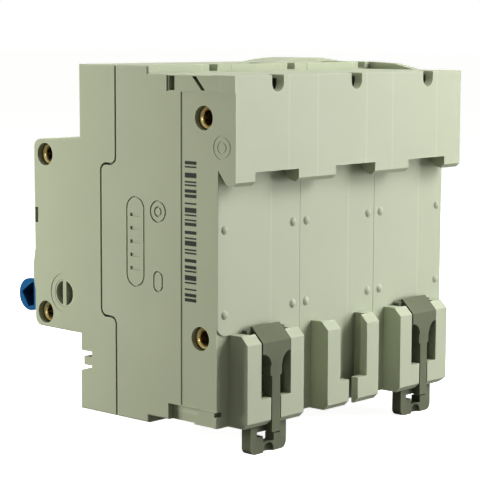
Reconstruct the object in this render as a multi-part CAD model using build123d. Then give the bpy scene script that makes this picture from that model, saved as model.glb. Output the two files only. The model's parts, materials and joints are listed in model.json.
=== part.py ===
from build123d import *
import os

# Modules: X runs across the device, Y from nose (-) to rail (+), Z up.
MODULE = 27.0
RCD_X = MODULE
POLE_X = {1: 0.0, 2: -MODULE}
HALF_WIDTH = 1.5 * MODULE
PARTING = 3.8
WALL = 1.8
EDGE = 0.15
OUTER_EDGE = 0.45
SLIP = 0.3
RUN = 0.06

# Seam between front cover and base
SEAM_Y = -31.3
SEAM_STEP_Y = -36.15
SEAM_TOP = 17.1
SEAM_BOTTOM = -17.6
SEAM_CORNER = 1.7
SEAM_WIDTH = 0.55
SEAM_DEPTH = 1.1

# Side profile
SHOULDER_Y = -43.4
TOP_Z = 39.3
BOTTOM_Z = -40.3
STEP_Y = -21.0
REAR_TOP_Z = 37.55
REAR_BOTTOM_Z = -38.6
NOSE_Y = -59.2
NOSE_HALF = 22.7
NOSE_CORNER = 2.0
RIB = 0.7
RIB_Z = -9.3
FOOT_NOTCH_TOP = -26.6
FOOT_NOTCH_BOTTOM = -31.3
FOOT_NOTCH_Y = -39.5

DOME_RISE = 1.0
RIM_WIDTH = 2.8

# Rail hook block and guides
GUIDE_Y = 5.1
HOOK_Z = 15.0
HOOK_APEX_Z = 17.5
TOOTH_GAP_HALF = 7.15
TOOTH_GAP_TOP = 17.0
ROOT = 1.6
NOTCH_HALF = 1.92
NOTCH_BOTTOM = 33.9
NOTCH_PLATE = 2.1
NUB_X = 11.2
NUB_R = 1.05
NUB_HEIGHT = 0.5
GUIDE_HALF = 9.3
LIP_HALF = 4.9
GROOVE_HALF = 6.5
LIP_Y = 3.2
GUIDE_TOP = -18.4
GUIDE_BOTTOM = -38.7
FOOT_TOP = -32.6
FOOT_GAP_HALF = 1.65
FAR_CORNER = 1.8
RECESS_DEPTH = 0.35
RECESS_TOP = -18.4
RECESS_CORNER = 2.6
POCKET_TOP = -24.0
POCKET_BOTTOM = -32.9

# Debossed marks and steps on the outer side
MARK_LINE = 0.4
MARK_DEPTH = 0.3
PLATE_Y = -25.0
PLATE_Z = 0.2
PLATE_WIDTH = 5.4
PLATE_HEIGHT = 20.0
PLATE_BARS = 5
PLATE_BAR_PITCH = 3.0
MARKS_Y = -17.9
RING_Z = 7.4
LOZENGE_Z = -8.1
TARGET_Y = 1.2
TARGET_Z = 22.3
STRIP_Y = -10.9
STRIP_STEP = 0.2
SLOT_DEPTH = 3.5

# Rivets that hold the modules together (Y, Z)
RIVETS = [(-55.1, 18.2), (-4.2, 28.4), (-55.3, -19.0), (-5.2, -19.4)]
RIVET_HEAD_HOLE = 2.65
RIVET_SINK = 2.2
RIVET_R = 1.95
RIVET_BORE = 1.7
RIVET_HEAD_R = 2.2
RIVET_HEAD = 0.4
BOSS_R = 3.6

# Handles
PIVOT_Y = -50.0
PIVOT_Z = 0.0
HANDLE_REST = 48.0
HUB_R = 6.3
HUB_HALF = 4.5
LEVER_HALF = 2.9
LEVER_THICK = 3.2
PIN_R = 1.8
PADDLE_HALF = 11.5
PADDLE_Y = -63.25
PADDLE_Z = -15.9
PADDLE_R = 3.9
PADDLE_REAR = -61.5
SLOT_HALF = 3.3
SLOT_BOTTOM = -13.9
SLOT_TOP = 11.5

# Terminals
SCREW_Z = 31.0
SCREW_R = 2.4
DRIVER_HOLE_R = 3.2
CAGE_HALF = 6.5
CAGE_FRONT = -35.0
CAGE_REAR = -21.2
CAGE_WALL = 1.6
CAGE_DEPTH_HALF = 4.0
STRAP_HALF = 4.4
STRAP_Y = -33.0
STRAP_THICK = 1.4
ENTRY_HALF = 4.3
ENTRY_FRONT = -31.4
ENTRY_REAR = -22.8

# Contact arm
ARM_Y = -30.0
ARM_Z = 4.0
ARM_OPEN = 20.0
ARM_HALF = 2.5
ARM_TIP = -14.0
ARM_PIN_R = 1.5
CONTACT_Z = -11.0
CONTACT_R = 2.3
CONTACT_FACE_Y = -27.0
CONTACT_GAP = 0.12

# Magnetic trip
COIL_Z = 15.0
COIL_FRONT = -26.0
COIL_REAR = -17.6
COIL_R = 4.6
BOBBIN_R = 3.2
PLUNGER_R = 2.4

LEAD_WIDTH = 2.4

# Residual current sensing
TOROID_Y = -14.5
TOROID_Z = 8.0
TOROID_R = 8.5
TOROID_BORE = 4.9
PRIMARY_R = 1.6
PRIMARY_Z = {1: 5.6, 2: 10.4}
RETURN_Y = -3.9
PRIMARY_END = 36.5
WINDOW = 2.0

# Trip coupling on the outer side of the residual current module
COUPLING_Y = -48.9
COUPLING_Z = -13.9
COUPLING_R = 3.3
COUPLING_RIM = 4.6
COUPLING_BAR = 1.15

# Rail clips sit in the two outer modules
CLIP_X = {1: RCD_X, 2: -MODULE}
CLIP_HEAD_HALF = 4.55
CLIP_FLANGE_HALF = 5.9
CLIP_WING_HALF = 6.1
CLIP_TOP = -16.95
CLIP_SHOULDER = -22.7
CLIP_FILLET = 2.75
CLIP_BOTTOM = -45.3
CLIP_TRAVEL = 4.5
CLIP_STEM_STEP = FOOT_TOP + CLIP_TRAVEL + SLIP


def cuboid(x0, x1, y0, y1, z0, z1):
    """Box between opposite corners."""
    return Pos((x0 + x1) / 2, (y0 + y1) / 2, (z0 + z1) / 2) * Box(x1 - x0, y1 - y0, z1 - z0)


def prism(points, x0, x1, rounding=0.0):
    """Side outline of (Y, Z) points, extruded across the device."""
    outline = Plane.YZ.offset(x0) * Polygon(*points, align=None)
    if rounding:
        outline = fillet(outline.vertices(), rounding)
    return extrude(outline, amount=x1 - x0, dir=(1, 0, 0))


def rod_x(y, z, radius, x0, x1):
    return Pos((x0 + x1) / 2, y, z) * Rot(0, 90, 0) * Cylinder(radius, x1 - x0)


def rod_y(x, z, radius, y0, y1):
    return Pos(x, (y0 + y1) / 2, z) * Rot(90, 0, 0) * Cylinder(radius, y1 - y0)


def rod_z(x, y, radius, z0, z1):
    return Pos(x, y, (z0 + z1) / 2) * Cylinder(radius, z1 - z0)


def turned(shape, y, z, degrees):
    """Turn a shape about an axis along X through (y, z)."""
    return Pos(0, y, z) * Rot(degrees, 0, 0) * Pos(0, -y, -z) * shape


# Case

def outer_profile():
    """Body outline without the hook block and the guides."""
    return [
        (SHOULDER_Y, TOP_Z), (STEP_Y, TOP_Z), (STEP_Y, REAR_TOP_Z), (0, REAR_TOP_Z),
        (0, REAR_BOTTOM_Z), (STEP_Y, REAR_BOTTOM_Z), (STEP_Y, BOTTOM_Z), (SHOULDER_Y, BOTTOM_Z),
        (SHOULDER_Y + 0.1, -NOSE_HALF), (NOSE_Y, -NOSE_HALF + 0.2),
        (NOSE_Y, RIB_Z - 5.0), (NOSE_Y - RIB, RIB_Z - 1.5), (NOSE_Y - RIB, RIB_Z + 1.5), (NOSE_Y, RIB_Z + 5.0),
        (NOSE_Y, NOSE_HALF - 1.1), (SHOULDER_Y + 0.1, NOSE_HALF),
    ]


def inner_profile():
    """Cavity outline, one wall thickness inside the body outline."""
    front = SHOULDER_Y + WALL
    nose = NOSE_Y + WALL
    return [
        (front, TOP_Z - WALL), (STEP_Y - WALL, TOP_Z - WALL), (STEP_Y - WALL, REAR_TOP_Z - WALL),
        (-WALL, REAR_TOP_Z - WALL), (-WALL, REAR_BOTTOM_Z + WALL), (STEP_Y - WALL, REAR_BOTTOM_Z + WALL),
        (STEP_Y - WALL, BOTTOM_Z + WALL), (front, BOTTOM_Z + WALL),
        (front, -NOSE_HALF + WALL + 0.2), (nose, -NOSE_HALF + WALL + 0.2),
        (nose, NOSE_HALF - WALL - 1.1), (front, NOSE_HALF - WALL - 0.8),
    ]


def hook_profile():
    """Upper block behind the body: its underside is the undercut that grips the rail."""
    return [
        (-ROOT, REAR_TOP_Z), (GUIDE_Y, REAR_TOP_Z), (GUIDE_Y, HOOK_Z), (4.1, 14.1), (2.34, 14.5),
        (0, HOOK_APEX_Z), (-ROOT, HOOK_APEX_Z),
    ]


def guide_profile():
    return [
        (-ROOT, GUIDE_TOP), (3.2, GUIDE_TOP), (GUIDE_Y, GUIDE_TOP - 1.9), (GUIDE_Y, GUIDE_BOTTOM + 1.2),
        (GUIDE_Y - 1.2, GUIDE_BOTTOM), (-ROOT, GUIDE_BOTTOM),
    ]


def module_blank(centre):
    """One module as a full solid with softened side edges."""
    half = MODULE / 2
    outline = Plane.YZ.offset(centre - half) * Polygon(*outer_profile(), align=None)
    nose = [v for v in outline.vertices() if v.Y < NOSE_Y + 1 and abs(v.Z) > abs(RIB_Z) + 6]
    outline = fillet(nose, NOSE_CORNER)
    body = extrude(outline, amount=MODULE, dir=(1, 0, 0))
    sides = body.faces().filter_by(Axis.X)
    outer = [edge for face in sides if abs(face.center().X) > HALF_WIDTH - 1 for edge in face.edges()]
    inner = [edge for face in sides if abs(face.center().X) < HALF_WIDTH - 1 for edge in face.edges()]
    body = chamfer(inner, EDGE)
    if outer:
        body = fillet(outer, OUTER_EDGE)
    block = prism(hook_profile(), centre - half, centre + half)
    gap = cuboid(centre - TOOTH_GAP_HALF, centre + TOOTH_GAP_HALF, 0, GUIDE_Y + 1, HOOK_Z - 2, TOOTH_GAP_TOP)
    notch = cuboid(centre - NOTCH_HALF, centre + NOTCH_HALF, 1.2, GUIDE_Y + 1,
                   NOTCH_BOTTOM + NOTCH_HALF, REAR_TOP_Z + 1)
    notch += rod_y(centre, NOTCH_BOTTOM + NOTCH_HALF, NOTCH_HALF, 1.2, GUIDE_Y + 1)
    notch += cuboid(centre - 2.4 * NOTCH_HALF, centre + NOTCH_HALF, 0.2, GUIDE_Y - NOTCH_PLATE,
                    NOTCH_BOTTOM + 0.3, REAR_TOP_Z - 0.8)
    return body + (block - gap - notch)


def guides(centre):
    """Two legs with inner lips and feet; the rail clip runs between them."""
    legs = prism(guide_profile(), centre - GUIDE_HALF, centre + GUIDE_HALF)
    low = GUIDE_BOTTOM - 1
    legs -= cuboid(centre - GROOVE_HALF, centre + GROOVE_HALF, 0, LIP_Y, low, GUIDE_TOP + 1)
    legs -= cuboid(centre - LIP_HALF, centre + LIP_HALF, 0, GUIDE_Y + 1, FOOT_TOP, GUIDE_TOP + 1)
    legs -= cuboid(centre - FOOT_GAP_HALF, centre + FOOT_GAP_HALF, 0, GUIDE_Y + 1, low, FOOT_TOP + 1)
    if centre == POLE_X[2]:
        corner = legs.edges().filter_by(Axis.Y).sort_by(Axis.Z)[:8].sort_by(Axis.X)[0]
        legs = fillet(corner, FAR_CORNER)
    return legs


def leg_recess():
    """Shallow recess of the rear plane outside the first leg, round the rounded corner of the upper panel."""
    bottom = REAR_BOTTOM_Z - 1
    outer = HALF_WIDTH + 1
    recess = cuboid(RCD_X + GUIDE_HALF, outer, -RECESS_DEPTH, 1, bottom, RECESS_TOP)
    centre_x = HALF_WIDTH - RECESS_CORNER
    centre_z = RECESS_TOP + RECESS_CORNER
    corner = cuboid(centre_x, outer, -RECESS_DEPTH, 1, RECESS_TOP, centre_z)
    return recess + (corner - rod_y(centre_x, centre_z, RECESS_CORNER, -1, 2))


def clip_pocket(centre):
    """Opening in the rear wall behind the stem of a rail clip."""
    return cuboid(centre - GROOVE_HALF, centre + GROOVE_HALF, -WALL - 1, 0.01, POCKET_BOTTOM, POCKET_TOP)


def top_notch(centre):
    """Notch with one slanted end in the step of the top wall."""
    outline = Polygon((centre - 8.9, STEP_Y + 0.1), (centre - 6.1, STEP_Y + 0.1),
                      (centre - 6.1, STEP_Y - 2.2), (centre - 7.9, STEP_Y - 2.2), align=None)
    return extrude(Plane.XY.offset(REAR_TOP_Z + 0.25) * outline, amount=3, dir=(0, 0, 1))


def nubs(centre):
    """Low domes on the rear plane beside the guides."""
    domes = Part()
    sphere_r = (NUB_R ** 2 + NUB_HEIGHT ** 2) / (2 * NUB_HEIGHT)
    for side in (-1, 1):
        for z in (4.6, -13.8):
            dome = Pos(centre + side * NUB_X, NUB_HEIGHT - sphere_r, z) * Sphere(sphere_r)
            domes += dome & cuboid(centre - MODULE, centre + MODULE, -0.6, NUB_HEIGHT, z - 1, z + 1)
    return domes


def rivet_holes():
    holes = Part()
    for y, z in RIVETS:
        holes += rod_x(y, z, RIVET_R + RUN / 2, -HALF_WIDTH, HALF_WIDTH)
        holes += rod_x(y, z, RIVET_HEAD_HOLE, HALF_WIDTH - RIVET_SINK, HALF_WIDTH + 1)
        holes += rod_x(y, z, RIVET_HEAD_HOLE, -HALF_WIDTH - 1, RIVET_SINK - HALF_WIDTH)
    return holes


def hollow_module(centre):
    """Module with its cavity, rivet bosses, guides and nubs."""
    half = MODULE / 2
    inner = prism(inner_profile(), centre - half + WALL, centre + half - WALL)
    body = module_blank(centre) + guides(centre) + nubs(centre) - top_notch(centre)
    if centre in CLIP_X.values():
        inner += clip_pocket(centre)
    bosses = Part()
    for y, z in RIVETS:
        bosses += rod_x(y, z, BOSS_R, centre - half + WALL, centre + half - WALL)
    return body - (inner - bosses) - rivet_holes()


def handle_slot(centre):
    """Window in the nose front for a toggle lever."""
    return cuboid(centre - SLOT_HALF, centre + SLOT_HALF, NOSE_Y - 2, NOSE_Y + WALL + 1, SLOT_BOTTOM, SLOT_TOP)


def pivot_boss(centre, side, y, z, radius):
    """Socket boss on a side wall that carries the end of a pin."""
    wall = centre + side * (MODULE / 2 - WALL)
    end = centre + side * (MODULE / 2 - WALL - 3)
    return rod_x(y, z, radius + 1.6, min(wall, end), max(wall, end))


def terminal_height(side):
    """Height of the clamp screw: above the nose for the line side, below it for the load side."""
    return SCREW_Z if side > 0 else -SCREW_Z - 1.0


def terminal_openings(centre):
    """Wire entries through top and bottom, and driver holes in the shoulder."""
    cuts = cuboid(centre - ENTRY_HALF, centre + ENTRY_HALF, ENTRY_FRONT, ENTRY_REAR, TOP_Z - 3, TOP_Z + 3)
    cuts += cuboid(centre - ENTRY_HALF, centre + ENTRY_HALF, ENTRY_FRONT, ENTRY_REAR, BOTTOM_Z - 3, BOTTOM_Z + 3)
    cuts += rod_y(centre, terminal_height(1), DRIVER_HOLE_R, SHOULDER_Y - 1, SHOULDER_Y + WALL + 1)
    cuts += rod_y(centre, terminal_height(-1), DRIVER_HOLE_R, SHOULDER_Y - 1, SHOULDER_Y + WALL + 1)
    return cuts


def primary_windows(x0, x1):
    """Windows in the module walls for the primary conductors."""
    cuts = Part()
    for z in PRIMARY_Z.values():
        cuts += rod_x(TOROID_Y, z, WINDOW, x0, x1)
        cuts += rod_x(RETURN_Y, z, WINDOW, x0, x1)
    return cuts


def top_dome(centre):
    """Low arched pad across the front of the top wall."""
    half_span = MODULE / 2 - 0.8
    radius = (half_span ** 2 + DOME_RISE ** 2) / (2 * DOME_RISE)
    arch = rod_y(centre, TOP_Z + DOME_RISE - radius, radius, SHOULDER_Y + 0.6, ENTRY_FRONT - 0.4)
    return arch & cuboid(centre - half_span, centre + half_span, SHOULDER_Y, STEP_Y, TOP_Z - 0.3, TOP_Z + 2)


def side_rim():
    """Rim along the far edge that carries the top wall further back and slopes down."""
    outline = [(STEP_Y - 1, TOP_Z), (STEP_Y, TOP_Z), (-13.3, TOP_Z - 0.35), (-7.0, REAR_TOP_Z),
               (-7.0, REAR_TOP_Z - 0.5), (STEP_Y - 1, REAR_TOP_Z - 0.5)]
    return prism(outline, -HALF_WIDTH, RIM_WIDTH - HALF_WIDTH)


def pole_module(centre):
    body = hollow_module(centre)
    if centre == POLE_X[2]:
        body += top_dome(centre) + side_rim()
    for side in (-1, 1):
        body += pivot_boss(centre, side, PIVOT_Y, PIVOT_Z, PIN_R)
        body += pivot_boss(centre, side, ARM_Y, ARM_Z, ARM_PIN_R)
    body -= rod_x(PIVOT_Y, PIVOT_Z, PIN_R, centre - MODULE / 2 + WALL, centre + MODULE / 2 - WALL)
    body -= rod_x(ARM_Y, ARM_Z, ARM_PIN_R, centre - MODULE / 2 + WALL, centre + MODULE / 2 - WALL)
    return body - handle_slot(centre) - terminal_openings(centre)


def halves(body, centre):
    """Split a module at its parting plane; each foot tip stays with the shell that carries it."""
    parting = centre - PARTING
    foot_tip = cuboid(parting, centre, LIP_Y - 0.5, GUIDE_Y + 1, GUIDE_BOTTOM - 1, FOOT_TOP + 0.5)
    narrow_side = cuboid(centre - MODULE, parting, 2 * NOSE_Y, -NOSE_Y, 2 * BOTTOM_Z, 2 * TOP_Z) + foot_tip
    return body - narrow_side, body & narrow_side


def pole_shells(number):
    centre = POLE_X[number]
    left_wall = centre - MODULE / 2 - 1
    body = pole_module(centre)
    if number == 1:
        body -= primary_windows(left_wall, centre + MODULE)
    else:
        body -= primary_windows(centre, centre + MODULE)
    return halves(body, centre)


def cover_seam():
    """Stepped line where front cover and base meet, from top to bottom."""
    return [
        (SEAM_Y, TOP_Z + 1), (SEAM_Y, SEAM_TOP), (SEAM_STEP_Y, SEAM_TOP),
        (SEAM_STEP_Y, SEAM_BOTTOM), (SEAM_Y, SEAM_BOTTOM), (SEAM_Y, BOTTOM_Z - 1),
    ]


def ring_groove(y, z, radius, depth):
    """Round groove in the outer side."""
    outer = rod_x(y, z, radius + MARK_LINE / 2, HALF_WIDTH - depth, HALF_WIDTH + 1)
    return outer - rod_x(y, z, radius - MARK_LINE / 2, HALF_WIDTH - depth - 1, HALF_WIDTH + 2)


def slot_groove(y, z, width, height, depth):
    """Groove round an upright slot shape in the outer side."""
    def outline(grow):
        shape = SlotOverall(height + grow, width + grow, rotation=90)
        return extrude(Plane.YZ.offset(HALF_WIDTH - depth) * Pos(y, z) * shape, amount=2, dir=(1, 0, 0))
    return outline(MARK_LINE) - outline(-MARK_LINE)


def side_marks():
    """Blank nameplate with short bars, and a ring, a target and a lozenge, all debossed."""
    marks = slot_groove(PLATE_Y, PLATE_Z, PLATE_WIDTH, PLATE_HEIGHT, MARK_DEPTH)
    for index in range(PLATE_BARS):
        z = PLATE_Z + (index - (PLATE_BARS - 1) / 2) * PLATE_BAR_PITCH
        half_bar = PLATE_WIDTH / 2 - 1.1
        marks += cuboid(HALF_WIDTH - MARK_DEPTH, HALF_WIDTH + 1, PLATE_Y - half_bar, PLATE_Y + half_bar,
                        z - MARK_LINE, z + MARK_LINE)
    marks += ring_groove(MARKS_Y, RING_Z, 2.3, MARK_DEPTH) + ring_groove(MARKS_Y, RING_Z, 1.0, MARK_DEPTH)
    marks += ring_groove(TARGET_Y, TARGET_Z, 2.4, MARK_DEPTH) + ring_groove(TARGET_Y, TARGET_Z, 1.2, MARK_DEPTH)
    marks += slot_groove(MARKS_Y, LOZENGE_Z, 2.6, 4.4, MARK_DEPTH)
    return marks


def side_pockets():
    """Stepped rear strip, the two corner pockets of the outer side and the notch on the nose edge."""
    out = HALF_WIDTH + 1
    strip = cuboid(HALF_WIDTH - STRIP_STEP, out, STRIP_Y, GUIDE_Y + 1, -34.7, 33.8)
    deep = HALF_WIDTH - SLOT_DEPTH
    upper = cuboid(deep, out, -14.7, -13.0, 34.1, 37.2)
    upper += prism([(-7.8, 37.2), (-6.6, 37.2), (-3.9, 34.2), (-5.1, 34.2)], deep, out)
    upper += cuboid(HALF_WIDTH - 0.3, out, -15.2, 0.5, 33.9, 37.3)
    lower = prism([(-14.8, -34.9), (-5.5, -34.9), (-7.8, -39.5), (-14.8, -39.5)], HALF_WIDTH - 1.5, out)
    lower += cuboid(HALF_WIDTH - 0.5, out, -14.8, -1.2, -39.5, -34.9)
    lower += cuboid(HALF_WIDTH - 1.9, out, -1.3, 1.0, -36.1, -35.0)
    nose = cuboid(HALF_WIDTH - 0.6, out, -58.8, -57.7, 2.0, 5.6)
    return strip + upper + lower + nose


def foot_notch():
    """Groove across the lower shoulder of the residual current module, with its backing wall."""
    depth = FOOT_NOTCH_Y - SHOULDER_Y
    groove = prism([(SHOULDER_Y - 1, FOOT_NOTCH_TOP), (FOOT_NOTCH_Y, FOOT_NOTCH_TOP),
                    (FOOT_NOTCH_Y, FOOT_NOTCH_BOTTOM + 1.1), (SHOULDER_Y - 1, FOOT_NOTCH_BOTTOM - 0.3)],
                   RCD_X - MODULE, RCD_X + MODULE)
    backing = cuboid(RCD_X - MODULE / 2 + WALL, RCD_X + MODULE / 2 - WALL, SHOULDER_Y + WALL,
                     SHOULDER_Y + WALL + depth, FOOT_NOTCH_BOTTOM - WALL, FOOT_NOTCH_TOP + WALL)
    tab = cuboid(RCD_X - MODULE / 2 + EDGE, RCD_X + MODULE / 2 - EDGE, SHOULDER_Y + 1.1, FOOT_NOTCH_Y + 0.1,
                 -29.9, -27.9)
    return backing, groove, tab


def rcd_module():
    centre = RCD_X
    backing, groove, tab = foot_notch()
    body = hollow_module(centre) + backing - groove + tab
    body += pivot_boss(centre, 1, PIVOT_Y, PIVOT_Z, PIN_R)
    body -= rod_x(PIVOT_Y, PIVOT_Z, PIN_R, centre - MODULE / 2 + WALL, centre + MODULE / 2 - WALL)
    body += rod_x(COUPLING_Y, COUPLING_Z, COUPLING_RIM, HALF_WIDTH - WALL - 1.5, HALF_WIDTH - WALL)
    body -= rod_x(COUPLING_Y, COUPLING_Z, COUPLING_R, HALF_WIDTH - WALL - 2, HALF_WIDTH + 1)
    body -= rod_x(COUPLING_Y, COUPLING_Z, COUPLING_RIM, HALF_WIDTH - 0.12, HALF_WIDTH + 1)
    body -= handle_slot(centre)
    body -= rod_y(TEST_X, TEST_Z, TEST_R + SLIP, NOSE_Y - 2, NOSE_Y + WALL + 1)
    body -= primary_windows(centre - MODULE / 2 - 1, centre)
    return body - side_pockets() - side_marks() - leg_recess()


def rcd_shells():
    """Rear base, front cover and left shell of the residual current module."""
    right, left = halves(rcd_module(), RCD_X)
    seam = cover_seam()
    start = RCD_X - PARTING - 1
    zone = Polygon(*seam, (2 * NOSE_Y, BOTTOM_Z - 1), (2 * NOSE_Y, TOP_Z + 1), align=None)
    jogs = [v for v in zone.vertices() if abs(v.Y) < SEAM_TOP + 1]
    zone = Plane.YZ.offset(start) * fillet(jogs, SEAM_CORNER)
    front_zone = extrude(zone, amount=MODULE, dir=(1, 0, 0))
    line = trace(FilletPolyline(*seam, radius=SEAM_CORNER), SEAM_WIDTH)
    groove = extrude(Plane.YZ.offset(HALF_WIDTH - SEAM_DEPTH) * line, amount=SEAM_DEPTH + 1, dir=(1, 0, 0))
    return (right - front_zone) - groove, (right & front_zone) - groove, left


def tubular_rivets():
    """Four brass tubes across all modules, with a rolled head at each end."""
    rivets = []
    seat = HALF_WIDTH - RIVET_SINK
    for y, z in RIVETS:
        tube = rod_x(y, z, RIVET_R, -seat - RIVET_HEAD / 2, seat + RIVET_HEAD / 2)
        for side in (-1, 1):
            head = rod_x(y, z, RIVET_HEAD_R, seat, seat + RIVET_HEAD)
            head = fillet(head.edges().group_by(Axis.X)[-1], RIVET_HEAD / 2)
            tube += head if side > 0 else mirror(head, Plane.YZ)
        rivets.append(tube - rod_x(y, z, RIVET_BORE, -HALF_WIDTH, HALF_WIDTH))
    return Compound(children=rivets)


# Toggles

def paddle(x0, x1):
    """Finger paddle of D section, flat towards the nose, with the toggle off."""
    flat = cuboid(x0, x1, PADDLE_Y, PADDLE_REAR, PADDLE_Z - 0.9 * PADDLE_R, PADDLE_Z + PADDLE_R)
    return rod_x(PADDLE_Y, PADDLE_Z, PADDLE_R, x0, x1) + flat


def hollow_outline():
    return [(-61.9, -12.5), (-66.3, -15.4), (-63.9, -18.9), (-61.9, -18.4)]


def toggle(centre):
    """Hub, lever and a paddle that is hollow from both ends."""
    arm = cuboid(centre - LEVER_HALF, centre + LEVER_HALF, PIVOT_Y - 18, PIVOT_Y - 3,
                 PIVOT_Z - LEVER_THICK / 2, PIVOT_Z + LEVER_THICK / 2)
    body = turned(arm, PIVOT_Y, PIVOT_Z, HANDLE_REST)
    body += rod_x(PIVOT_Y, PIVOT_Z, HUB_R, centre - HUB_HALF, centre + HUB_HALF)
    body += paddle(centre - PADDLE_HALF, centre + PADDLE_HALF)
    for side in (-1, 1):
        inner = centre + side * (LEVER_HALF + 0.4)
        outer = centre + side * (PADDLE_HALF + 1)
        body -= prism(hollow_outline(), min(inner, outer), max(inner, outer), 0.4)
    return body - rod_x(PIVOT_Y, PIVOT_Z, PIN_R + RUN, centre - HUB_HALF - 1, centre + HUB_HALF + 1)


def tie_bar():
    """Bar that sits in the facing hollows of the two pole toggles."""
    start = POLE_X[2] + LEVER_HALF + 0.4
    end = POLE_X[1] - LEVER_HALF - 0.4
    return prism(hollow_outline(), start, end, 0.4)


def pin(centre, y, z, radius, left=MODULE / 2 - WALL, right=MODULE / 2 - WALL):
    return rod_x(y, z, radius, centre - left, centre + right)


# Pole internals

def clamp_screw(centre, side):
    z = terminal_height(side)
    head = rod_y(centre, z, 3.5, SHOULDER_Y + WALL + 0.3, -38.9)
    shank = rod_y(centre, z, SCREW_R, -38.9, STRAP_Y - 0.15)
    slot = cuboid(centre - 3.6, centre + 3.6, SHOULDER_Y, SHOULDER_Y + WALL + 1.3, z - 0.5, z + 0.5)
    cross = cuboid(centre - 0.5, centre + 0.5, SHOULDER_Y, SHOULDER_Y + WALL + 1.3, z - 2.0, z + 2.0)
    return head + shank - slot - cross


def clamp_cage(centre, side):
    """Rectangular ring round strap and wire; the screw draws it forward."""
    z = terminal_height(side)
    ring = cuboid(centre - CAGE_HALF, centre + CAGE_HALF, CAGE_FRONT, CAGE_REAR,
                  z - CAGE_DEPTH_HALF, z + CAGE_DEPTH_HALF)
    ring -= cuboid(centre - CAGE_HALF + CAGE_WALL, centre + CAGE_HALF - CAGE_WALL,
                   CAGE_FRONT + CAGE_WALL, CAGE_REAR - CAGE_WALL,
                   z - CAGE_DEPTH_HALF - 1, z + CAGE_DEPTH_HALF + 1)
    return ring - rod_y(centre, z, SCREW_R + RUN, CAGE_FRONT - 1, CAGE_FRONT + CAGE_WALL + 1)


def line_strap(centre):
    """Terminal plate that turns inwards to the trip coil."""
    plate = cuboid(centre - STRAP_HALF, centre + STRAP_HALF, STRAP_Y, STRAP_Y + STRAP_THICK, 22.0, 36.6)
    foot = cuboid(centre - 2.5, centre + 2.5, STRAP_Y, -23.5, 22.0, 22.0 + STRAP_THICK)
    return plate + foot


def load_strap(centre, return_z):
    """Lower terminal plate that runs under the arc chamber and up to the return conductor."""
    plate = cuboid(centre - STRAP_HALF, centre + STRAP_HALF, STRAP_Y, STRAP_Y + STRAP_THICK, -37.6, -21.0)
    floor = cuboid(centre - 2.5, centre + 2.5, STRAP_Y, -9.2, -22.4, -21.0)
    riser = cuboid(centre - 2.5, centre + 2.5, -10.4, -9.2, -22.4, return_z + 0.6)
    tab = cuboid(centre - 2.5, centre + 2.5, -10.4, RETURN_Y - PRIMARY_R, return_z - 0.6, return_z + 0.6)
    return plate + floor + riser + tab


def fixed_contact(centre, feed_z):
    """Bracket with the fixed contact button and a tail to the primary conductor."""
    back = cuboid(centre - 3.0, centre + 3.0, CONTACT_FACE_Y + 1.0, CONTACT_FACE_Y + 2.2, -16.5, -0.8)
    shelf = cuboid(centre - 3.0, centre + 3.0, CONTACT_FACE_Y + 1.0, TOROID_Y + 0.6, -2.0, -0.8)
    tail = cuboid(centre - 3.0, centre + 3.0, TOROID_Y - 0.6, TOROID_Y + 0.6, -2.0, feed_z - PRIMARY_R)
    button = rod_y(centre, CONTACT_Z, CONTACT_R, CONTACT_FACE_Y, CONTACT_FACE_Y + 1.0)
    return back + shelf + tail + button


def contact_arm(centre):
    """Pivoted arm with its contact button, standing open."""
    plate_rear = CONTACT_FACE_Y - CONTACT_GAP - 1.2
    arm = cuboid(centre - ARM_HALF, centre + ARM_HALF, plate_rear - 2.2, plate_rear, ARM_TIP, ARM_Z)
    arm += rod_x(ARM_Y, ARM_Z, 3.2, centre - ARM_HALF, centre + ARM_HALF)
    arm += rod_y(centre, CONTACT_Z, CONTACT_R, plate_rear, plate_rear + 1.2)
    arm -= rod_x(ARM_Y, ARM_Z, ARM_PIN_R + RUN, centre - MODULE, centre + MODULE)
    return turned(arm, ARM_Y, ARM_Z, -ARM_OPEN)


def arc_plates(centre):
    """Stack of steel splitter plates, each with a notch towards the contacts."""
    plates = []
    for index in range(6):
        z = -15.9 + index * 2.1
        plate = cuboid(centre - 7.5, centre + 7.5, -24.2, -11.6, z, z + 0.9)
        notch = cuboid(centre - 2.0, centre + 2.0, -25.0, -20.0, z - 1, z + 2)
        plates.append(plate - notch)
    return Compound(children=plates)


def arc_sides(centre):
    """Insulating cheeks that hold the splitter plates."""
    cheeks = []
    for side in (-1, 1):
        near = centre + side * 7.5
        far = centre + side * 8.7
        cheeks.append(cuboid(min(near, far), max(near, far), -24.6, -11.2, -16.8, -3.6))
    return Compound(children=cheeks)


def trip_coil(centre):
    """Winding of a few thick turns with a lead up to the line strap."""
    pitch = (COIL_REAR - COIL_FRONT) / 5
    winding = Part()
    for index in range(5):
        middle = COIL_FRONT + pitch * (index + 0.5)
        winding += Pos(centre, middle, COIL_Z) * Rot(90, 0, 0) * Torus((COIL_R + BOBBIN_R) / 2, 0.78)
    sleeve = rod_y(centre, COIL_Z, BOBBIN_R + 0.75, COIL_FRONT + 0.3, COIL_REAR - 0.3)
    sleeve -= rod_y(centre, COIL_Z, BOBBIN_R, COIL_FRONT, COIL_REAR)
    lead = cuboid(centre - 1.0, centre + 1.0, -25.4, -23.9, COIL_Z + 3.9, 22.0)
    return winding - rod_y(centre, COIL_Z, BOBBIN_R, COIL_FRONT - 1, COIL_REAR + 1) + sleeve + lead


def bobbin(centre):
    tube = rod_y(centre, COIL_Z, BOBBIN_R, COIL_FRONT - 0.2, COIL_REAR + 0.2)
    return tube - rod_y(centre, COIL_Z, PLUNGER_R + SLIP, COIL_FRONT - 1, COIL_REAR + 1)


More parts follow.
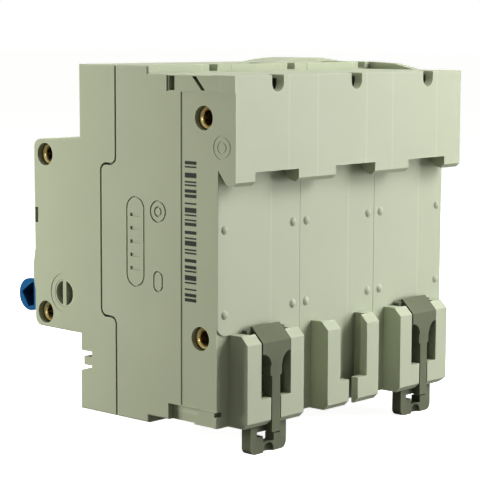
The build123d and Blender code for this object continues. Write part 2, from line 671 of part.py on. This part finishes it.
def yoke(centre):
    """Steel frame with a front plate, a floor under the coil and a rear plate."""
    front = cuboid(centre - 5.0, centre + 5.0, COIL_FRONT - 1.4, COIL_FRONT - 0.2, COIL_Z - 6.4, COIL_Z + 4.6)
    front -= rod_y(centre, COIL_Z, PLUNGER_R + SLIP, COIL_FRONT - 2, COIL_FRONT)
    rear = cuboid(centre - 5.0, centre + 5.0, COIL_REAR + 0.2, COIL_REAR + 1.1, COIL_Z - 6.4, COIL_Z + 4.6)
    floor = cuboid(centre - 5.0, centre + 5.0, COIL_FRONT - 1.4, COIL_REAR + 1.1, COIL_Z - 6.4, COIL_Z - 5.3)
    return front + rear + floor


def plunger(centre):
    """Sliding iron core with a thin striker pin."""
    core = rod_y(centre, COIL_Z, PLUNGER_R, COIL_FRONT - 1.0, COIL_REAR - 2.5)
    return core + rod_y(centre, COIL_Z, 0.9, COIL_FRONT - 5.0, COIL_FRONT - 1.0)


def bimetal(centre):
    """Thermal strip hanging from a bent bracket in front of the line strap."""
    strip = cuboid(centre - 2.5, centre + 2.5, -38.2, -37.4, 6.5, 20.9)
    bracket = cuboid(centre - 2.5, centre + 2.5, -38.2, -28.6, 20.1, 20.9)
    return strip + bracket


def flexible_lead(centre):
    """Flat braid from the bimetal towards the contact arm."""
    half = LEAD_WIDTH / 2
    outline = [(-37.4, 8.6), (-35.4, 8.6), (-34.0, 6.8), (-34.7, 6.2), (-35.8, 7.7), (-37.4, 7.7)]
    return prism(outline, centre - half, centre + half)


# Residual current module internals

TEST_X = RCD_X - 8.0
TEST_Z = 0.0
TEST_R = 2.5
TEST_INNER = -54.6


def test_button():
    stem = rod_y(TEST_X, TEST_Z, TEST_R, NOSE_Y - 1.9, TEST_INNER)
    stem = fillet(stem.edges().group_by(Axis.Y)[0], 0.4)
    return stem + rod_y(TEST_X, TEST_Z, TEST_R + 0.6, NOSE_Y + WALL + SLIP, TEST_INNER)


def test_spring():
    """Leaf contact behind the test button, standing on a foot."""
    leaf = cuboid(TEST_X - 2.4, TEST_X + 2.4, TEST_INNER + 1.8, TEST_INNER + 2.2, -9.0, 3.5)
    foot = cuboid(TEST_X - 2.4, TEST_X + 2.4, TEST_INNER + 1.8, TEST_INNER + 5.0, -9.4, -9.0)
    return leaf + foot


def toroid_core():
    ring = rod_x(TOROID_Y, TOROID_Z, TOROID_R, 21.0, 30.0)
    return ring - rod_x(TOROID_Y, TOROID_Z, TOROID_BORE, 20.0, 31.0)


def sensing_winding():
    """Winding wrapped round the lower front sector of the core."""
    jacket = rod_x(TOROID_Y, TOROID_Z, TOROID_R + 0.8, 20.2, 30.8)
    jacket -= rod_x(TOROID_Y, TOROID_Z, TOROID_BORE - 0.6, 19.0, 32.0)
    sector = prism([(TOROID_Y, TOROID_Z), (TOROID_Y - 16, TOROID_Z + 4), (TOROID_Y - 16, TOROID_Z - 16),
                    (TOROID_Y + 2, TOROID_Z - 16)], 19.0, 32.0)
    return (jacket & sector) - toroid_core()


def primary_conductor(number):
    """Round bar through the core and back behind it, down to its own pole."""
    start = POLE_X[number]
    z = PRIMARY_Z[number]
    path = FilletPolyline((start - 2.5, TOROID_Y, z), (PRIMARY_END, TOROID_Y, z),
                          (PRIMARY_END, RETURN_Y, z), (start - 2.5, RETURN_Y, z), radius=3.4)
    section = Plane(origin=(start - 2.5, TOROID_Y, z), z_dir=(1, 0, 0)) * Circle(PRIMARY_R)
    return sweep(section, path=path)


def circuit_board():
    board = cuboid(16.4, 37.4, -33.0, -31.4, -12.0, 22.0)
    for x in (18.4, 35.4):
        board -= rod_y(x, 20.0, 1.0, -34, -30)
    return board


def board_parts():
    """Chips and a capacitor on the board."""
    parts = [
        cuboid(20.0, 26.0, -35.0, -33.0, 8.0, 12.0),
        cuboid(29.0, 34.0, -34.6, -33.0, -2.0, 6.0),
        rod_y(31.0, 14.5, 2.6, -38.0, -33.0),
    ]
    return Compound(children=parts)


def test_resistor():
    body = rod_z(20.5, -34.9, 1.2, -6.0, 1.0)
    return body + rod_z(20.5, -34.9, 1.45, -6.0, -4.6) + rod_z(20.5, -34.9, 1.45, -0.4, 1.0)


RELAY_X = 30.0
RELAY_Y = -34.0


def trip_relay():
    case = cuboid(22.0, 37.0, -37.5, -24.5, -36.6, -25.0)
    case = chamfer(case.edges().filter_by(Axis.Z), 0.8)
    return case - rod_z(RELAY_X, RELAY_Y, 1.5 + SLIP, -34.0, -24.0)


def relay_plunger():
    return rod_z(RELAY_X, RELAY_Y, 1.5, -32.6, -20.2)


def trip_lever():
    """Coupling shaft seen in the side wall, with an arm over the relay plunger."""
    shaft = rod_x(COUPLING_Y, COUPLING_Z, COUPLING_R - RUN, 28.0, HALF_WIDTH - 0.2)
    well = rod_x(COUPLING_Y, COUPLING_Z, COUPLING_R - 0.4, HALF_WIDTH - 2.0, HALF_WIDTH + 1)
    bar = cuboid(HALF_WIDTH - 2.0, HALF_WIDTH + 1, COUPLING_Y - COUPLING_BAR / 2,
                 COUPLING_Y + COUPLING_BAR / 2, COUPLING_Z - 4, COUPLING_Z + 4)
    arm = prism([(COUPLING_Y, COUPLING_Z + 1.2), (COUPLING_Y, COUPLING_Z - 2.4), (RELAY_Y - 3.0, -19.8),
                 (RELAY_Y + 2.0, -19.8), (RELAY_Y + 2.0, -18.0), (RELAY_Y - 3.0, -17.6)], 28.0, 32.0)
    return (shaft - (well - bar)) + arm


# Rail clips

def rail_clip(centre):
    """Sliding clip: lead-in head with wings, tapered stem between the feet, flange and pull tab."""
    face = GUIDE_Y + 0.2
    head = prism([(1.6, CLIP_TOP), (2.0, CLIP_TOP), (face, CLIP_TOP - 3.3), (face, CLIP_SHOULDER),
                  (0.7, CLIP_SHOULDER), (0.7, -17.8), (1.4, -17.8)],
                 centre - CLIP_HEAD_HALF, centre + CLIP_HEAD_HALF)
    taper = cuboid(centre - CLIP_HEAD_HALF, centre + CLIP_HEAD_HALF, LIP_Y - 0.8, face,
                   CLIP_SHOULDER - CLIP_FILLET, CLIP_SHOULDER)
    for side in (-1, 1):
        taper -= rod_y(centre + side * CLIP_HEAD_HALF, CLIP_SHOULDER - CLIP_FILLET, CLIP_FILLET, 0, face + 1)
        head += cuboid(centre + min(0, side * CLIP_WING_HALF), centre + max(0, side * CLIP_WING_HALF),
                       0.5, 2.0, -21.5, -17.7)
    upper_stem = cuboid(centre - 1.85, centre + 1.85, LIP_Y - 0.8, GUIDE_Y,
                        CLIP_STEM_STEP, CLIP_SHOULDER - CLIP_FILLET)
    stem = cuboid(centre - 1.3, centre + 1.3, LIP_Y - 0.8, GUIDE_Y, -40.4, CLIP_STEM_STEP)
    flange = cuboid(centre - CLIP_FLANGE_HALF, centre + CLIP_FLANGE_HALF, SLIP, LIP_Y - SLIP,
                    CLIP_BOTTOM, POCKET_BOTTOM - 0.4)
    flange = fillet(flange.edges().filter_by(Axis.Y).group_by(Axis.Z)[0], 1.6)
    tee = cuboid(centre - 3.8, centre + 3.8, -1, 4, -41.5, -40.4)
    tee += cuboid(centre - 1.8, centre + 1.8, -1, 4, -43.0, -40.4)
    scoop = Pos(centre, LIP_Y + 0.5, CLIP_BOTTOM + 0.4) * Sphere(1.9)
    return head + taper + upper_stem + stem + flange - tee - scoop


def save(shape, node):
    export_step(shape, "parts/" + node + ".step")


os.makedirs("parts", exist_ok=True)

base, cover, left_shell = rcd_shells()
save(base, "rcd_base_shell")
save(cover, "rcd_front_cover")
save(left_shell, "rcd_left_shell")
save(tubular_rivets(), "tubular_rivets")
save(toggle(RCD_X), "reset_toggle")
save(pin(RCD_X, PIVOT_Y, PIVOT_Z, PIN_R, left=HUB_HALF + 0.5), "reset_toggle_pin")
save(test_button(), "test_button")
save(test_spring(), "test_contact_spring")
save(toroid_core(), "toroid_core")
save(sensing_winding(), "sensing_winding")
save(circuit_board(), "circuit_board")
save(board_parts(), "board_components")
save(test_resistor(), "test_resistor")
save(trip_relay(), "trip_relay")
save(relay_plunger(), "relay_plunger")
save(trip_lever(), "trip_lever")
save(tie_bar(), "handle_tie_bar")
save(Compound(children=[pin(centre, PIVOT_Y, PIVOT_Z, PIN_R) for centre in POLE_X.values()]), "handle_pins")
save(Compound(children=[pin(centre, ARM_Y, ARM_Z, ARM_PIN_R) for centre in POLE_X.values()]), "arm_pins")

save(Compound(children=[flexible_lead(centre) for centre in POLE_X.values()]), "flexible_leads")

for number, centre in POLE_X.items():
    name = "pole_" + str(number) + "_"
    wide, narrow = pole_shells(number)
    save(wide, name + "right_shell")
    save(narrow, name + "left_shell")
    save(toggle(centre), name + "handle")
    save(contact_arm(centre), name + "contact_arm")
    save(fixed_contact(centre, PRIMARY_Z[number]), name + "fixed_contact")
    save(line_strap(centre), name + "line_strap")
    save(load_strap(centre, PRIMARY_Z[number]), name + "load_strap")
    save(primary_conductor(number), name + "primary_conductor")
    save(arc_plates(centre), name + "arc_plates")
    save(arc_sides(centre), name + "arc_chamber_sides")
    save(trip_coil(centre), name + "trip_coil")
    save(bobbin(centre), name + "coil_bobbin")
    save(yoke(centre), name + "coil_yoke")
    save(plunger(centre), name + "trip_plunger")
    save(bimetal(centre), name + "bimetal")
    for side, word in ((1, "line"), (-1, "load")):
        save(clamp_screw(centre, side), name + word + "_screw")
        save(clamp_cage(centre, side), name + word + "_cage")

for number, centre in CLIP_X.items():
    save(rail_clip(centre), "rail_clip_" + str(number))
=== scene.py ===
import json
import math

import bmesh
import bpy
from mathutils import Matrix, Vector


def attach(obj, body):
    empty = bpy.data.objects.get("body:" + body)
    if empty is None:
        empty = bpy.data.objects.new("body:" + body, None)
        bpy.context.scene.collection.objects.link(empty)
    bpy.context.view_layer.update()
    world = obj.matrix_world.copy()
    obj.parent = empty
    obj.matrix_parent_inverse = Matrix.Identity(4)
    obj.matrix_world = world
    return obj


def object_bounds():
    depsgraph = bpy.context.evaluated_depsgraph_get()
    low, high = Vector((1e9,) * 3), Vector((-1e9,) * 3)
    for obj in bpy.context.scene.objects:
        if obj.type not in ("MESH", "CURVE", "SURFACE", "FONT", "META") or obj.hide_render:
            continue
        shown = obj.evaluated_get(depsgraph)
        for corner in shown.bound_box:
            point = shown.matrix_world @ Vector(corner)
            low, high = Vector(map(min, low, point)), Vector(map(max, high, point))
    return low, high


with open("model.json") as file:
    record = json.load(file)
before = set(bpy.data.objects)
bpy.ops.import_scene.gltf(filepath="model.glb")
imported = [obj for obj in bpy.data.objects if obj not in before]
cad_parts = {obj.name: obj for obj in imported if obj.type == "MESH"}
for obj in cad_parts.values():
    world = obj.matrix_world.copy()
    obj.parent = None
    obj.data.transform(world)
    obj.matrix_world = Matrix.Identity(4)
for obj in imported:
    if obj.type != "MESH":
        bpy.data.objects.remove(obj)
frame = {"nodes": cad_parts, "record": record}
cad_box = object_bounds()

MM = 0.001

HALF_WIDTH = 40.5 * MM
MODULE = 27.0 * MM

# Surface texture: scales in features per metre, heights in metres

CLOUD_SCALE = 45.0
SWELL_SCALE = 160.0
SWELL_HEIGHT = 0.06 * MM
GRAIN_SCALE = 3800.0
GRAIN_HEIGHT = 0.02 * MM
LINE_SCALE = 140.0
LINE_STRETCH = (1.0, 30.0, 30.0)
LINE_HEIGHT = 0.03 * MM
STAIN_SCALE = 260.0
PAPER_SCALE = 3.0

# Painted shade in crevices and painted highlights on edges, with the share of free directions over
# which each fades

# painted shade: how far and how strongly the colour is darkened in crevices and recesses
CREVICE_SHADE_REACH = 6.0 * MM
CREVICE_SHADE_FADE = (0.05, 0.55)
# painted highlight: how far and how strongly the colour is lightened along edges
EDGE_HIGHLIGHT_REACH = 0.5 * MM
EDGE_HIGHLIGHT_FADE = (0.45, 0.85)
EDGE_HIGHLIGHT_LIFT = 1.14
NEARNESS_SAMPLES = 8


# Node helpers

def new_material(name):
    """Principled material with object coordinates ready to use."""
    material = bpy.data.materials.new(name)
    material.use_nodes = True
    tree = material.node_tree
    shader = tree.nodes["Principled BSDF"]
    coords = tree.nodes.new("ShaderNodeTexCoord")
    return material, tree, shader, coords.outputs["Object"]


def noise(tree, coords, scale, detail=2.0, roughness=0.5):
    node = tree.nodes.new("ShaderNodeTexNoise")
    node.inputs["Scale"].default_value = scale
    node.inputs["Detail"].default_value = detail
    node.inputs["Roughness"].default_value = roughness
    tree.links.new(coords, node.inputs["Vector"])
    return node.outputs["Fac"]


def remap(tree, value, low, high, start=0.3, end=0.7):
    node = tree.nodes.new("ShaderNodeMapRange")
    node.inputs["From Min"].default_value = start
    node.inputs["From Max"].default_value = end
    node.inputs["To Min"].default_value = low
    node.inputs["To Max"].default_value = high
    tree.links.new(value, node.inputs["Value"])
    return node.outputs["Result"]


def two_tones(tree, value, dark, light, start=0.35, end=0.65):
    ramp = tree.nodes.new("ShaderNodeValToRGB")
    ramp.color_ramp.elements[0].position = start
    ramp.color_ramp.elements[0].color = (*dark, 1.0)
    ramp.color_ramp.elements[1].position = end
    ramp.color_ramp.elements[1].color = (*light, 1.0)
    tree.links.new(value, ramp.inputs["Fac"])
    return ramp.outputs["Color"]


def bump(tree, shader, heights):
    """Chain of bumps, each given as (height, strength, distance)."""
    previous = None
    for height, strength, distance in heights:
        node = tree.nodes.new("ShaderNodeBump")
        node.inputs["Strength"].default_value = strength
        node.inputs["Distance"].default_value = distance
        tree.links.new(height, node.inputs["Height"])
        if previous:
            tree.links.new(previous, node.inputs["Normal"])
        previous = node.outputs["Normal"]
    tree.links.new(previous, shader.inputs["Normal"])


def nearness(tree, reach, inside):
    """Share of directions, outside or inside the wall, that meet no surface within reach."""
    node = tree.nodes.new("ShaderNodeAmbientOcclusion")
    node.samples = NEARNESS_SAMPLES
    node.inside = inside
    node.inputs["Distance"].default_value = reach
    return node.outputs["AO"]


def toned(tree, colour, value, factor):
    """Colour with its brightness scaled by value where factor is 0, unchanged where it is 1."""
    scaled = tree.nodes.new("ShaderNodeHueSaturation")
    scaled.inputs["Value"].default_value = value
    tree.links.new(colour, scaled.inputs["Color"])
    mix = tree.nodes.new("ShaderNodeMix")
    mix.data_type = "RGBA"
    tree.links.new(factor, mix.inputs["Factor"])
    tree.links.new(scaled.outputs["Color"], mix.inputs["A"])
    tree.links.new(colour, mix.inputs["B"])
    return mix.outputs["Result"]


def painted_shade_and_highlight(tree, colour, shade):
    """Painted shade where little light gets in, and painted highlights that make edges paler."""
    # painted shade: colour darkened where few directions are open
    open_sky = nearness(tree, CREVICE_SHADE_REACH, False)
    crevice_shaded = toned(tree, colour, shade, remap(tree, open_sky, 0.0, 1.0, *CREVICE_SHADE_FADE))
    # painted highlight: colour made paler along edges
    solid = nearness(tree, EDGE_HIGHLIGHT_REACH, True)
    return toned(tree, crevice_shaded, EDGE_HIGHLIGHT_LIFT, remap(tree, solid, 0.0, 1.0, *EDGE_HIGHLIGHT_FADE))


def moulded_plastic(name, dark, light, roughness, grain=0.35, specular=0.4, shade=0.22):
    """Moulded plastic: spark-eroded grain, faint flow clouds, uneven gloss, painted shade in
    crevices and painted highlights on edges.
    """
    material, tree, shader, coords = new_material(name)
    clouds = noise(tree, coords, CLOUD_SCALE, 3.0)
    grain_fine = noise(tree, coords, GRAIN_SCALE)
    swell = noise(tree, coords, SWELL_SCALE)
    colour = two_tones(tree, clouds, dark, light)
    # base colour with painted shade in crevices and painted highlights on edges
    tree.links.new(painted_shade_and_highlight(tree, colour, shade), shader.inputs["Base Color"])
    gloss = remap(tree, swell, roughness - 0.03, roughness + 0.04)
    tree.links.new(gloss, shader.inputs["Roughness"])
    shader.inputs["Specular IOR Level"].default_value = specular
    bump(tree, shader, [(swell, 0.15, SWELL_HEIGHT), (grain_fine, grain, GRAIN_HEIGHT)])
    return material


def drawn_metal(name, dark, light, roughness):
    """Metal with fine drawing lines along one axis and a little tarnish."""
    material, tree, shader, coords = new_material(name)
    mapping = tree.nodes.new("ShaderNodeMapping")
    mapping.inputs["Scale"].default_value = LINE_STRETCH
    tree.links.new(coords, mapping.inputs["Vector"])
    lines = noise(tree, mapping.outputs["Vector"], LINE_SCALE, 3.0, 0.65)
    stain = noise(tree, coords, STAIN_SCALE, 3.0)
    tree.links.new(two_tones(tree, stain, dark, light), shader.inputs["Base Color"])
    gloss = remap(tree, lines, roughness - 0.08, roughness + 0.12)
    tree.links.new(gloss, shader.inputs["Roughness"])
    shader.inputs["Metallic"].default_value = 1.0
    bump(tree, shader, [(lines, 0.2, LINE_HEIGHT)])
    return material


CASE = moulded_plastic("case_plastic", (0.492, 0.532, 0.391), (0.512, 0.552, 0.408), 0.44)
BLUE = moulded_plastic("blue_plastic", (0.004, 0.085, 0.250), (0.007, 0.110, 0.310), 0.36,
                       grain=0.2, specular=0.25, shade=0.06)
CLIP = moulded_plastic("clip_plastic", (0.128, 0.142, 0.090), (0.162, 0.178, 0.114), 0.58,
                       specular=0.3)
DARK = moulded_plastic("dark_plastic", (0.020, 0.020, 0.022), (0.040, 0.040, 0.042), 0.42)
CORE = moulded_plastic("core_plastic", (0.16, 0.24, 0.22), (0.20, 0.29, 0.26), 0.40)
BUTTON = moulded_plastic("button_plastic", (0.62, 0.33, 0.03), (0.70, 0.38, 0.05), 0.36)
BOARD = moulded_plastic("board_mask", (0.010, 0.090, 0.035), (0.016, 0.125, 0.050), 0.28,
                        grain=0.15)
INK = moulded_plastic("print_ink", (0.030, 0.034, 0.030), (0.055, 0.060, 0.054), 0.55, grain=0.1)
BRASS = drawn_metal("brass_tube", (0.80, 0.59, 0.21), (0.98, 0.82, 0.45), 0.28)
STEEL = drawn_metal("zinc_steel", (0.42, 0.42, 0.40), (0.60, 0.60, 0.57), 0.36)
COPPER = drawn_metal("copper_strip", (0.50, 0.22, 0.12), (0.68, 0.33, 0.19), 0.30)

FINISH = {
    "case_plastic": CASE,
    "brass": BRASS,
    "blue_plastic": BLUE,
    "clip_plastic": CLIP,
    "plated_steel": STEEL,
    "copper": COPPER,
    "dark_plastic": DARK,
    "core_plastic": CORE,
    "board_green": BOARD,
    "button_plastic": BUTTON,
}


EDGE_WIDTH = {"case_plastic": 0.25 * MM, "clip_plastic": 0.25 * MM, "blue_plastic": 0.3 * MM}
EDGE_ANGLE = math.radians(35)


def soften(node, width):
    """Rounded edges on a CAD node, where its faces meet at more than EDGE_ANGLE."""
    bevel = node.modifiers.new("edge", "BEVEL")
    bevel.width = width
    bevel.segments = 2
    bevel.limit_method = "ANGLE"
    bevel.angle_limit = EDGE_ANGLE
    bevel.use_clamp_overlap = True
    bevel.harden_normals = True


def finish_nodes():
    """Material of its slot on every CAD node, and rounded edges on the outer plastics."""
    for part in frame["record"]["subparts"]:
        node = frame["nodes"][part["node"]]
        node.data.materials.clear()
        node.data.materials.append(FINISH[part["material_slot"]])
        if part["material_slot"] in EDGE_WIDTH:
            soften(node, EDGE_WIDTH[part["material_slot"]])


finish_nodes()


# Printed marks

INK_THICK = 0.05 * MM
STRIP_FACE = HALF_WIDTH - 0.2 * MM
CODE_TOP = 19.0 * MM
CODE_BOTTOM = -11.8 * MM
CODE_LEFT = -9.8 * MM
CODE_RIGHT = -6.4 * MM
CODE_UNIT = 0.36 * MM
CODE_BARS = (2, 1, 3, 1, 1, 2)
CODE_GAPS = (1, 3, 2, 1, 2)
NOSE_Y = -59.2 * MM
MODULE_X = (-MODULE, 0.0, MODULE)
PRINT_LINE = 0.22 * MM
FIELD_LOW = 12.8 * MM
FIELD_HIGH = 19.3 * MM
FIELD_HALF = 9.6 * MM
FIELD_PITCH = 1.6 * MM
FIELD_ROWS = (0.85, 0.55, 0.7)
SIGN_X = 6.6 * MM
SIGN_SIZE = 1.2 * MM
ON_Z = 9.0 * MM
OFF_Z = -1.5 * MM
TEST_X = MODULE - 8.0 * MM
TEST_Z = 0.0
TEST_RING = 4.0 * MM
SIGN_SEGMENTS = 32
TEST_SEGMENTS = 48


def block(work, low, high):
    """Thin block between two corners."""
    low, high = Vector(low), Vector(high)
    place = Matrix.Translation((low + high) / 2) @ Matrix.Diagonal((*(high - low), 1.0))
    bmesh.ops.create_cube(work, size=1.0, matrix=place)


def revolve(work, profile, segments, place):
    """Closed ring of a closed profile; place turns (radius, height, cos, sin) into a position."""
    rows = []
    for step in range(segments):
        angle = math.tau * step / segments
        rows.append([work.verts.new(place(radius, height, math.cos(angle), math.sin(angle)))
                     for radius, height in profile])
    faces = []
    for step in range(segments):
        near, far = rows[step], rows[(step + 1) % segments]
        for corner in range(len(profile)):
            after = (corner + 1) % len(profile)
            faces.append(work.faces.new((near[corner], near[after], far[after], far[corner])))
    return faces


def ring(work, centre, radius, line, depth, segments):
    """Flat ring in the plane of the nose front, as a closed band of rectangular section."""
    inner, outer = radius - line / 2, radius + line / 2
    section = [(inner, 0.0), (outer, 0.0), (outer, -depth), (inner, -depth)]
    revolve(work, section, segments, lambda radial, height, turn_cos, turn_sin: (
        centre[0] + radial * turn_cos, centre[1] + height, centre[2] + radial * turn_sin))


def new_piece(name, work, body, material):
    """Finished mesh as a piece that rides on a body."""
    mesh = bpy.data.meshes.new(name)
    bmesh.ops.recalc_face_normals(work, faces=work.faces)
    work.to_mesh(mesh)
    work.free()
    piece = bpy.data.objects.new(name, mesh)
    bpy.context.scene.collection.objects.link(piece)
    piece.data.materials.append(material)
    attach(piece, body)


def printed_strip():
    """Column of plain wide and thin bars down the rear strip of the outer side."""
    work = bmesh.new()
    z, index = CODE_TOP, 0
    while z > CODE_BOTTOM:
        thick = CODE_BARS[index % len(CODE_BARS)] * CODE_UNIT
        low = max(z - thick, CODE_BOTTOM)
        block(work, (STRIP_FACE - INK_THICK, CODE_LEFT, low),
              (STRIP_FACE + INK_THICK, CODE_RIGHT, z))
        z = low - CODE_GAPS[index % len(CODE_GAPS)] * CODE_UNIT
        index += 1
    new_piece("side_print_bars", work, "case", INK)


def nose_mark(work, left, right, low, high):
    """Thin printed rectangle on the nose front."""
    block(work, (left, NOSE_Y - INK_THICK, low), (right, NOSE_Y + INK_THICK, high))


def plate_frame(work, centre):
    """Thin outline of a label field on the nose front of a module."""
    left, right = centre - FIELD_HALF, centre + FIELD_HALF
    nose_mark(work, left, left + PRINT_LINE, FIELD_LOW, FIELD_HIGH)
    nose_mark(work, right - PRINT_LINE, right, FIELD_LOW, FIELD_HIGH)
    nose_mark(work, left + PRINT_LINE, right - PRINT_LINE, FIELD_LOW, FIELD_LOW + PRINT_LINE)
    nose_mark(work, left + PRINT_LINE, right - PRINT_LINE, FIELD_HIGH - PRINT_LINE, FIELD_HIGH)


def front_print():
    """Label fields with short bars, and a bar and a ring beside each toggle for on and off."""
    work = bmesh.new()
    margin = 3 * PRINT_LINE
    for centre in MODULE_X:
        plate_frame(work, centre)
        for row, share in enumerate(FIELD_ROWS):
            z = FIELD_HIGH - FIELD_PITCH * (row + 1)
            left = centre - FIELD_HALF + margin
            right = left + share * 2 * (FIELD_HALF - margin)
            nose_mark(work, left, right, z - PRINT_LINE, z + PRINT_LINE)
        sign = centre + SIGN_X
        nose_mark(work, sign - PRINT_LINE, sign + PRINT_LINE, ON_Z - SIGN_SIZE, ON_Z + SIGN_SIZE)
        ring(work, (sign, NOSE_Y + INK_THICK, OFF_Z), SIGN_SIZE, 2 * PRINT_LINE, 2 * INK_THICK,
             SIGN_SEGMENTS)
    ring(work, (TEST_X, NOSE_Y + INK_THICK, TEST_Z), TEST_RING, 1.5 * PRINT_LINE, 2 * INK_THICK,
         TEST_SEGMENTS)
    new_piece("front_print", work, "case", INK)


printed_strip()
front_print()


# Flared mouths of the tubular rivets

# centres (y, z), seat, and sizes below in millimetres
RIVETS = ((-55.1, 18.2), (-4.2, 28.4), (-55.3, -19.0), (-5.2, -19.4))
RIVET_SEAT = 38.3
# radius and height over the seat, from inside the tube over the rolled lip and back
FLARE = ((1.60, -0.80), (1.61, 0.0), (1.70, 0.35), (1.90, 0.62), (2.16, 0.78), (2.40, 0.80),
         (2.50, 0.66), (2.42, 0.50), (2.20, 0.42), (1.88, 0.05), (1.85, -0.80))
FLARE_SEGMENTS = 40


def flare(work, y, z, side):
    """Funnel-shaped rolled mouth round one end of a tube, as a smooth closed ring."""
    faces = revolve(work, FLARE, FLARE_SEGMENTS, lambda radius, height, turn_cos, turn_sin: (
        side * (RIVET_SEAT + height) * MM, (y + radius * turn_cos) * MM,
        (z + radius * turn_sin) * MM))
    for face in faces:
        face.smooth = True


def rivet_mouths():
    """Mouths of all four tubes on both outer sides."""
    work = bmesh.new()
    for y, z in RIVETS:
        flare(work, y, z, 1.0)
        flare(work, y, z, -1.0)
    new_piece("rivet_mouths", work, "case", BRASS)


rivet_mouths()


# Floor, light and camera

FLOOR_HALF = 6.0
FLOOR_GLOW = 0.90
SURROUND = 0.06
GLINT = 0.45
PAPER_WHITE = 1.0
FLOOR_DARK = (0.86, 0.86, 0.85)
FLOOR_LIGHT = (0.90, 0.90, 0.89)
FLOOR_BOUNCE = (0.20, 0.20, 0.19, 1.0)
SURROUND_TINT = (1.0, 1.0, 0.86, 1.0)
# name, place, size across, power, tint, lights matt surfaces, shows in glossy ones
LAMPS = [
    ("rear_key", (-0.22, 0.23, 0.20), 0.22, 1.3, (1.0, 1.0, 0.99), True, False),
    ("rear_low", (-0.25, 0.35, 0.02), 0.20, 0.75, (1.0, 1.0, 1.0), True, True),
    ("side_fill", (0.21, -0.26, 0.03), 0.14, 0.87, (1.0, 1.0, 0.93), True, False),
    ("top_box", (0.0, 0.0, 0.6), 0.5, 1.9, (1.0, 1.0, 1.0), True, True),
    ("front_box", (-0.16, -0.50, 0.12), 0.35, 0.9, (1.0, 1.0, 1.0), True, True),
    ("far_fill", (-0.5, -0.05, 0.18), 0.4, 1.0, (1.0, 1.0, 1.0), True, False),
    ("catch_light", (0.30, 0.27, 0.10), 0.05, 0.14, (1.0, 1.0, 1.0), False, True),
]


def seen_or_lit(tree, seen, lit):
    """Shader that the camera sees as one thing while it lights the object as another."""
    mix = tree.nodes.new("ShaderNodeMixShader")
    path = tree.nodes.new("ShaderNodeLightPath")
    tree.links.new(path.outputs["Is Camera Ray"], mix.inputs["Fac"])
    tree.links.new(lit, mix.inputs[1])
    tree.links.new(seen, mix.inputs[2])
    return mix.outputs["Shader"]


def build_floor():
    """Pale paper floor, bright to the camera, with little bounce back onto the object."""
    mesh = bpy.data.meshes.new("floor")
    work = bmesh.new()
    bmesh.ops.create_grid(work, x_segments=2, y_segments=2, size=FLOOR_HALF)
    for corner in work.verts:
        corner.co.z = cad_box[0][2]
    work.to_mesh(mesh)
    work.free()
    floor = bpy.data.objects.new("floor", mesh)
    bpy.context.scene.collection.objects.link(floor)
    material, tree, shader, coords = new_material("floor_paper")
    fibres = noise(tree, coords, PAPER_SCALE)
    tree.links.new(two_tones(tree, fibres, FLOOR_DARK, FLOOR_LIGHT), shader.inputs["Base Color"])
    shader.inputs["Roughness"].default_value = 0.9
    shader.inputs["Emission Color"].default_value = (1.0, 1.0, 1.0, 1.0)
    shader.inputs["Emission Strength"].default_value = FLOOR_GLOW
    grey = tree.nodes.new("ShaderNodeBsdfDiffuse")
    grey.inputs["Color"].default_value = FLOOR_BOUNCE
    surface = seen_or_lit(tree, shader.outputs["BSDF"], grey.outputs["BSDF"])
    tree.links.new(surface, tree.nodes["Material Output"].inputs["Surface"])
    floor.data.materials.append(material)


def area_light(name, place, target, size, power, tint, matt, glossy):
    """Round soft box aimed at the target, never seen by the camera itself."""
    data = bpy.data.lights.new(name, "AREA")
    data.shape = "DISK"
    data.size = size
    data.energy = power
    data.color = tint
    lamp = bpy.data.objects.new(name, data)
    lamp.location = place
    lamp.rotation_euler = (Vector(target) - Vector(place)).to_track_quat("-Z", "Y").to_euler()
    lamp.visible_camera = False
    lamp.visible_diffuse = matt
    lamp.visible_glossy = glossy
    bpy.context.scene.collection.objects.link(lamp)


def build_light():
    """White surround for the camera, dimmer even light for the object, and soft boxes round it."""
    world = bpy.data.worlds.new("studio")
    world.use_nodes = True
    tree = world.node_tree
    seen = tree.nodes["Background"]
    seen.inputs["Color"].default_value = (PAPER_WHITE, PAPER_WHITE, PAPER_WHITE, 1.0)
    lighting = tree.nodes.new("ShaderNodeBackground")
    lighting.inputs["Color"].default_value = SURROUND_TINT
    path = tree.nodes.new("ShaderNodeLightPath")
    strength = remap(tree, path.outputs["Is Glossy Ray"], SURROUND, GLINT, 0.0, 1.0)
    tree.links.new(strength, lighting.inputs["Strength"])
    surface = seen_or_lit(tree, seen.outputs["Background"], lighting.outputs["Background"])
    tree.links.new(surface, tree.nodes["World Output"].inputs["Surface"])
    bpy.context.scene.world = world
    bpy.context.scene.view_settings.view_transform = "Standard"
    middle = (cad_box[0] + cad_box[1]) / 2
    for name, place, size, power, tint, matt, glossy in LAMPS:
        area_light(name, place, middle, size, power, tint, matt, glossy)


AZIMUTH = math.radians(132.405)
ELEVATION = math.radians(6.879)
ROLL = math.radians(0.194)
CAMERA_PLACE = Vector((306.2, 249.2, 46.6)) * MM
SENSOR = 36.0
LENS = 129.35


def build_camera():
    """Camera at the viewing angle of the pictured device, rolled by a fraction of a degree."""
    data = bpy.data.cameras.new("camera")
    data.sensor_width = SENSOR
    data.lens = LENS
    data.clip_start = 10 * MM
    camera = bpy.data.objects.new("camera", data)
    forward = Vector((-math.sin(AZIMUTH) * math.cos(ELEVATION),
                      math.cos(AZIMUTH) * math.cos(ELEVATION), -math.sin(ELEVATION)))
    turn = forward.to_track_quat("-Z", "Y").to_matrix().to_4x4()
    roll = Matrix.Rotation(ROLL, 4, "Z")
    camera.matrix_world = Matrix.Translation(CAMERA_PLACE) @ turn @ roll
    bpy.context.scene.collection.objects.link(camera)
    bpy.context.scene.camera = camera


build_floor()
build_light()
build_camera()
